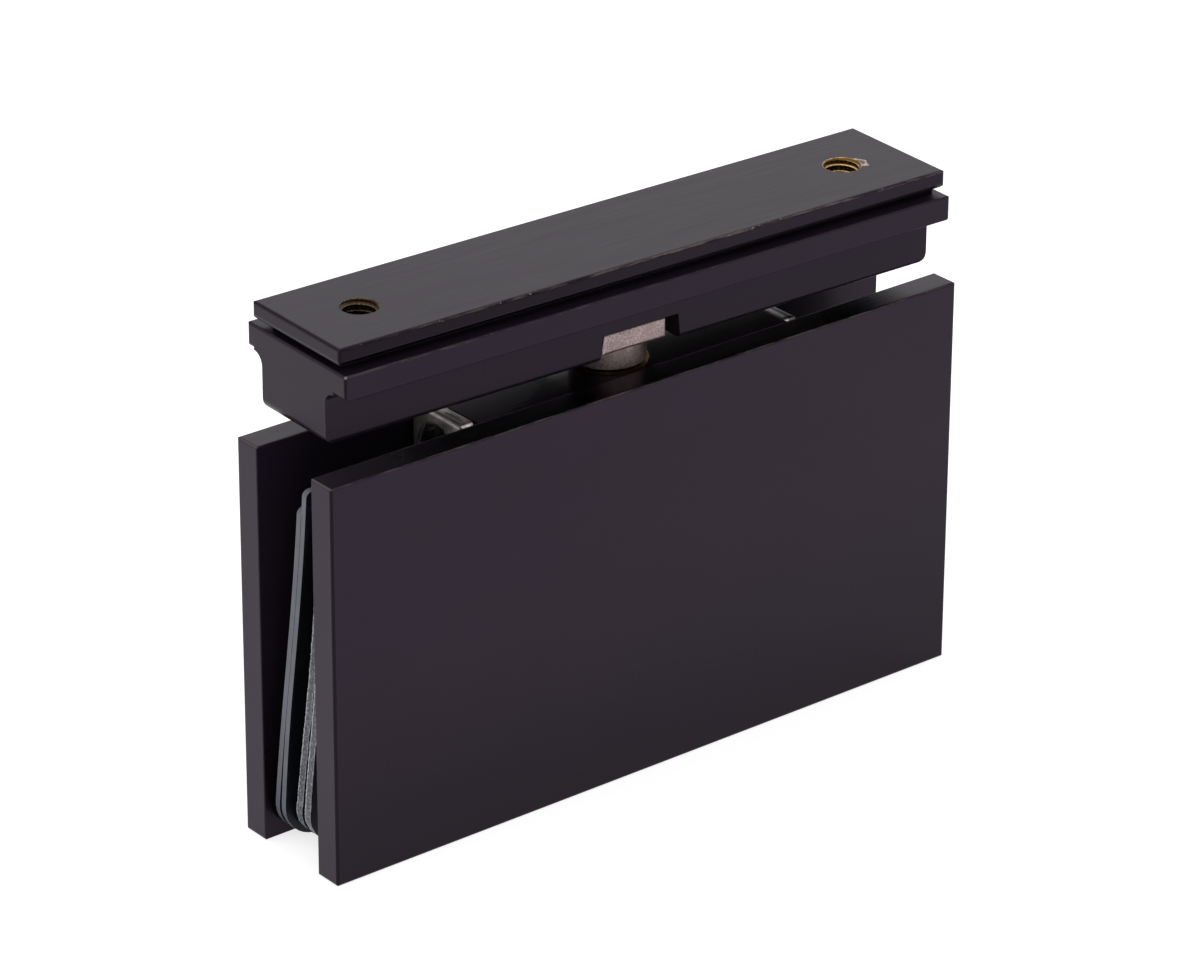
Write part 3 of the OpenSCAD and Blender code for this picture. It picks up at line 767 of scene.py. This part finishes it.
def opened_bar():
    """Copy of the bar with its two holes widened for the thread linings."""
    mesh = node_mesh("mount_bar")
    for vertex in mesh.vertices:
        for side in (-1, 1):
            offset = vertex.co - hole_axis(side)
            radius = math.hypot(offset.x, offset.y)
            if radius < (TAP_R + SINK + 0.1) * MM:
                offset *= RIM_R * MM / radius
                vertex.co.xy = (hole_axis(side) + offset).xy
    return mesh


def long_shim():
    """Copy of the shim that reaches nearly to the right end of the bar."""
    mesh = node_mesh("bar_shim")
    along = Vector((math.cos(SWING), math.sin(SWING), 0.0))
    for vertex in mesh.vertices:
        if vertex.co.dot(along) > (HOLE_X + SHIM_HOLE_ROOM) * MM:
            vertex.co += along * SHIM_REACH * MM
    return mesh


def thread_radius(share, height, lead):
    """Radius of the threaded wall at a share of a turn and a height, flared at both faces of the bar."""
    phase = (height / PITCH - share + lead) % 1.0
    wave = abs(2.0 * phase - 1.0)
    flank = min(1.0, max(0.0, (wave - CREST_SHARE) / FLANK_SHARE))
    flare = max(0.0, SINK - height, height - BAR_T + SINK)
    return max(TAP_R + (ROOT_R - TAP_R) * flank, TAP_R + flare)


def outer_radius(share, height, lead):
    """Radius of a lining's plain outer wall, the same at every place."""
    return LINING_R


def thread_lining(side, lead):
    """Brass sleeve with a thread cut into it, for one hole of the bar; lead is where the thread starts."""
    mesh_data = bmesh.new()
    foot = BAR_TOP - BAR_T

    def ring(radius_at, height):
        points = []
        for i in range(TURN_STEPS):
            turn = 2.0 * math.pi * i / TURN_STEPS
            radius = radius_at(i / TURN_STEPS, height, lead)
            place = Vector((radius * math.cos(turn), radius * math.sin(turn), foot + height)) * MM
            points.append(mesh_data.verts.new(place + hole_axis(side)))
        return points

    heights = [BAR_T * i / RISE_STEPS for i in range(RISE_STEPS + 1)]
    rings = [ring(thread_radius, height) for height in heights]
    rings += [ring(outer_radius, height) for height in (BAR_T, 0.0)]
    for lower, upper in zip(rings, rings[1:] + rings[:1]):
        for i in range(TURN_STEPS):
            k = (i + 1) % TURN_STEPS
            mesh_data.faces.new((lower[i], lower[k], upper[k], upper[i]))
    return finished_mesh(mesh_data, "thread_lining")


bar = add_piece("tapped_bar", opened_bar(), [bar_coat], "mount")
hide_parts("mount_bar")
shim = add_piece("fibre_shim", long_shim(), [fibre("black_fibre", FIBRE)], "mount")
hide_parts("bar_shim")
# The left hole gets a shaded copy of the thread and the right hole a lit copy
shaded_thread = thread_brass("shaded_thread", -1, SHADED_CREST, SHADED_ROOT, LEFT_BROKEN)
lit_thread = thread_brass("lit_thread", 1, LIT_CREST, LIT_ROOT, RIGHT_BROKEN)
add_piece("thread_left", thread_lining(-1, LEFT_LEAD), [shaded_thread], "mount")
add_piece("thread_right", thread_lining(1, RIGHT_LEAD), [lit_thread], "mount")


# Vinyl gaskets

# Outline that all four share: length, notch round the core block, and the rounding of its corners
GASKET_L = 116.2
NOTCH_HALF = 34.4
NOTCH_FOOT = 31.1
NOTCH_R = 3.0
FOOT_R = 6.5
TIP_R = 1.0

# Clear sheets: thickness, heights, left ends, gap between them and rounding of their rims
CLEAR_T = 1.0
CLEAR_BACK_H = 57.8
CLEAR_FRONT_H = 61.0
CLEAR_BACK_LEFT = -58.65
CLEAR_FRONT_LEFT = -58.6
CLEAR_GAP = 0.01
CLEAR_ROUND = 0.02

# How the front clear sheet parts from the rear one: share of the height, width at the foot and curve
PART_SHARE = 0.42
PART_GAP = 0.6
PART_CURVE = 1.4

# Frosted sheets: thickness, height, left end, gap, parting at the foot, rounding and roughness of the cut
FROSTED_T = 1.42
FROSTED_H = 60.0
FROSTED_LEFT = -57.3
FROSTED_GAP = 0.05
FROSTED_PART = 0.8
FROSTED_ROUND = 0.12
FROSTED_RAGGED = 0.06

# Places across the slot that the curves of the rear sheets' back faces follow, from foot to top
CLEAR_BOW = (6.3, 4.67, 0.5, -1.3)
FROSTED_BOW = (3.1, 0.7, -4.6, -3.65)

# Room under the sheets, and how near a point is to an end of the sheet to count as its cut edge
FLOOR_GAP = 0.3
CUT_ROOM = 1.0

# Fineness of the sheets' faces, edges and corners, of their slope, and the least angle of a rounded rim
GASKET_STEP = 2.5
EDGE_STEP = 0.4
CORNER_STEPS = 10
SLOPE_STEP = 0.01
RIM_ANGLE = 50.0


def bezier(share, a, b, c, d):
    """Cubic curve from a to d."""
    rest = 1.0 - share
    return rest**3 * a + 3.0 * rest**2 * share * b + 3.0 * rest * share**2 * c + share**3 * d


def clear_back(share):
    """Back face of the rear clear sheet across the slot, by share of its height."""
    return bezier(share, *CLEAR_BOW)


def clear_front(share):
    """Back face of the front clear sheet, which is taller and parts from the rear one at the foot."""
    parted = max(0.0, 1.0 - share / PART_SHARE)
    behind = clear_back(share * CLEAR_FRONT_H / CLEAR_BACK_H)
    return behind - CLEAR_T - CLEAR_GAP - PART_GAP * parted**PART_CURVE


def frosted_back(share):
    """Back face of the rear frosted sheet."""
    return bezier(share, *FROSTED_BOW)


def frosted_front(share):
    """Back face of the front frosted sheet."""
    return frosted_back(share) - FROSTED_T - FROSTED_GAP - FROSTED_PART * (1.0 - share) ** 3


def arc(centre, radius, start):
    """Points of a quarter turn counter-clockwise from start degrees; a negative radius turns clockwise."""
    turn = math.copysign(90.0, radius)
    angles = [math.radians(start + turn * i / CORNER_STEPS) for i in range(CORNER_STEPS + 1)]
    return [(centre[0] + abs(radius) * math.cos(a), centre[1] + abs(radius) * math.sin(a)) for a in angles]


def straight(a, b, step):
    """Points strictly between a and b, about step apart."""
    count = max(1, round(math.dist(a, b) / step))
    return [(a[0] + (b[0] - a[0]) * i / count, a[1] + (b[1] - a[1]) * i / count) for i in range(1, count)]


def gasket_outline(left, height):
    """Counter-clockwise U outline of a sheet, along X and up the sheet."""
    right = left + GASKET_L
    corners = [
        arc((left + FOOT_R, FOOT_R), FOOT_R, 180.0),
        arc((right - FOOT_R, FOOT_R), FOOT_R, 270.0),
        arc((right - TIP_R, height - TIP_R), TIP_R, 0.0),
        arc((NOTCH_HALF + TIP_R, height - TIP_R), TIP_R, 90.0),
        arc((NOTCH_HALF - NOTCH_R, NOTCH_FOOT + NOTCH_R), -NOTCH_R, 0.0),
        arc((NOTCH_R - NOTCH_HALF, NOTCH_FOOT + NOTCH_R), -NOTCH_R, 270.0),
        arc((-NOTCH_HALF - TIP_R, height - TIP_R), TIP_R, 0.0),
        arc((left + TIP_R, height - TIP_R), TIP_R, 90.0),
    ]
    points = []
    for corner, following in zip(corners, corners[1:] + corners[:1]):
        points += corner + straight(corner[-1], following[0], EDGE_STEP)
    return points


def flat_sheet(mesh_data, left, height, ragged, seed):
    """Fills a sheet's outline with faces in level rows; ragged is how rough its two ends are cut."""
    draw = random.Random(seed)
    corners = []
    for x, up in gasket_outline(left, height):
        outer = abs(x - left) < CUT_ROOM or abs(x - left - GASKET_L) < CUT_ROOM
        bite = draw.uniform(-ragged, ragged) if outer else 0.0
        corners.append(mesh_data.verts.new((x + bite, 0.0, up)))
    mesh_data.faces.new(corners)
    for level in range(1, math.ceil(height / GASKET_STEP)):
        everything = mesh_data.verts[:] + mesh_data.edges[:] + mesh_data.faces[:]
        bmesh.ops.bisect_plane(
            mesh_data, geom=everything, plane_co=(0.0, 0.0, level * GASKET_STEP), plane_no=(0.0, 0.0, 1.0)
        )
    bmesh.ops.triangulate(mesh_data, faces=mesh_data.faces[:])


def gasket(node, back, height, left, seed, slot, looks, thickness, rounding, ragged):
    """Bowed vinyl sheet with rounded rims that replaces a CAD gasket; back gives its back face."""
    mesh_data = bmesh.new()
    across = mesh_data.verts.layers.float.new(ACROSS)
    flat_sheet(mesh_data, left, height, ragged, seed)
    rear = mesh_data.verts[:]
    broad = set(mesh_data.faces)
    grown = bmesh.ops.extrude_face_region(mesh_data, geom=mesh_data.faces[:], use_keep_orig=True)["geom"]
    front = [item for item in grown if isinstance(item, bmesh.types.BMVert)]
    broad.update(item for item in grown if isinstance(item, bmesh.types.BMFace))
    for face in mesh_data.faces:
        face.material_index = 0 if face in broad else 1
    for vertices, depth in ((rear, 0.0), (front, thickness)):
        for vertex in vertices:
            vertex[across] = depth / thickness
            share = vertex.co.z / height
            slope = (back(share + SLOPE_STEP) - back(share - SLOPE_STEP)) / (2.0 * SLOPE_STEP * height)
            length = math.hypot(1.0, slope)
            y = back(share) - depth / length
            z = FLOOR_GAP + thickness * abs(slope) + (vertex.co.z + depth * slope) / length
            vertex.co = Vector((vertex.co.x, y, z)) * MM
    piece = add_piece(node + "_sheet", finished_mesh(mesh_data, node + "_sheet"), looks, "clamp")
    bevel = piece.modifiers.new("rounded_edge", "BEVEL")
    bevel.width = rounding * MM
    bevel.segments = 2
    bevel.limit_method = "ANGLE"
    bevel.angle_limit = math.radians(RIM_ANGLE)
    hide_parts(node)


clear_sheet = {
    "slot": "clear_vinyl",
    "looks": [
        vinyl_face("clear_vinyl", CLEAR_FACE_SHADE, 0.25),
        vinyl_edge("clear_cut", CLEAR_EDGE, 0.02, 0.05),
    ],
    "thickness": CLEAR_T,
    "rounding": CLEAR_ROUND,
    "ragged": 0.0,
}
frosted_sheet = {
    "slot": "frosted_vinyl",
    "looks": [
        vinyl_face("frosted_vinyl", FROSTED_FACE_SHADE, 0.4),
        vinyl_edge("frosted_cut", FROSTED_EDGE, 0.2, 0.5),
    ],
    "thickness": FROSTED_T,
    "rounding": FROSTED_ROUND,
    "ragged": FROSTED_RAGGED,
}
gasket("clear_gasket_back", clear_back, CLEAR_BACK_H, CLEAR_BACK_LEFT, 3, **clear_sheet)
gasket("clear_gasket_front", clear_front, CLEAR_FRONT_H, CLEAR_FRONT_LEFT, 5, **clear_sheet)
gasket("frosted_gasket_back", frosted_back, FROSTED_H, FROSTED_LEFT, 7, **frosted_sheet)
gasket("frosted_gasket_front", frosted_front, FROSTED_H, FROSTED_LEFT, 9, **frosted_sheet)


# Studio

TARGET = Vector((-1.29, 0.0, 44.92)) * MM
DISTANCE = 849.94 * MM
AZIMUTH = math.radians(-39.02)
ELEVATION = math.radians(25.51)
ROLL = math.radians(0.30)
SENSOR = 36.0
IMAGE_WIDTH = 1200
FOCAL_PIXELS = 5612.04
CLIP_NEAR = 0.01
CLIP_FAR = 100.0


def make_camera():
    """Camera at the photo's angle, with its slight roll."""
    back = Vector((
        math.sin(AZIMUTH) * math.cos(ELEVATION),
        -math.cos(AZIMUTH) * math.cos(ELEVATION),
        math.sin(ELEVATION),
    ))
    right = Vector((math.cos(AZIMUTH), math.sin(AZIMUTH), 0.0))
    up = back.cross(right)
    across = math.cos(ROLL) * right + math.sin(ROLL) * up
    above = math.cos(ROLL) * up - math.sin(ROLL) * right
    data = bpy.data.cameras.new("camera")
    data.sensor_width = SENSOR
    data.lens = FOCAL_PIXELS / IMAGE_WIDTH * SENSOR
    data.clip_start = CLIP_NEAR
    data.clip_end = CLIP_FAR
    camera = bpy.data.objects.new("camera", data)
    turned = Matrix((across, above, back)).transposed().to_4x4()
    camera.matrix_world = Matrix.Translation(TARGET + back * DISTANCE) @ turned
    bpy.context.scene.collection.objects.link(camera)
    bpy.context.scene.camera = camera


def make_floor(glow, radius, sides):
    """Pale round floor that glows a little, so that its far parts are white."""
    mesh_data = bmesh.new()
    bmesh.ops.create_circle(mesh_data, cap_ends=True, radius=radius, segments=sides)
    mesh = bpy.data.meshes.new("floor")
    mesh_data.to_mesh(mesh)
    mesh_data.free()
    paint = Paint("floor_white")
    haze = paint.noise((400.0, 400.0, 400.0))
    paint.set(Base_Color=paint.mix(haze, FLOOR, shade(FLOOR, 1.02)), Roughness=0.9, Specular_IOR_Level=0.0)
    paint.set(Emission_Color=WHITE, Emission_Strength=glow)
    mesh.materials.append(paint.material)
    floor = bpy.data.objects.new("floor", mesh)
    bpy.context.scene.collection.objects.link(floor)


def soft_light(name, size, place, aim, power):
    """Large soft light that points at aim."""
    data = bpy.data.lights.new(name, "AREA")
    data.shape = "RECTANGLE"
    data.size, data.size_y = size
    data.energy = power
    light = bpy.data.objects.new(name, data)
    light.location = place
    light.rotation_euler = (Vector(aim) - Vector(place)).to_track_quat("-Z", "Y").to_euler()
    bpy.context.scene.collection.objects.link(light)


def make_world(strength):
    """Even pale surroundings."""
    world = bpy.data.worlds.new("surroundings")
    world.use_nodes = True
    background = world.node_tree.nodes["Background"]
    background.inputs["Color"].default_value = (*WHITE, 1.0)
    background.inputs["Strength"].default_value = strength
    bpy.context.scene.world = world


make_camera()
make_floor(glow=0.70, radius=4.0, sides=96)
make_world(strength=1.0)
soft_light("top", size=(1.6, 1.6), place=(-0.3, 0.2, 1.6), aim=(0.0, 0.0, 0.05), power=4.0)
soft_light("back", size=(1.2, 0.8), place=(1.0, 1.2, 0.85), aim=(0.0, 0.0, 0.06), power=1.1)
bpy.context.scene.view_settings.view_transform = "Standard"
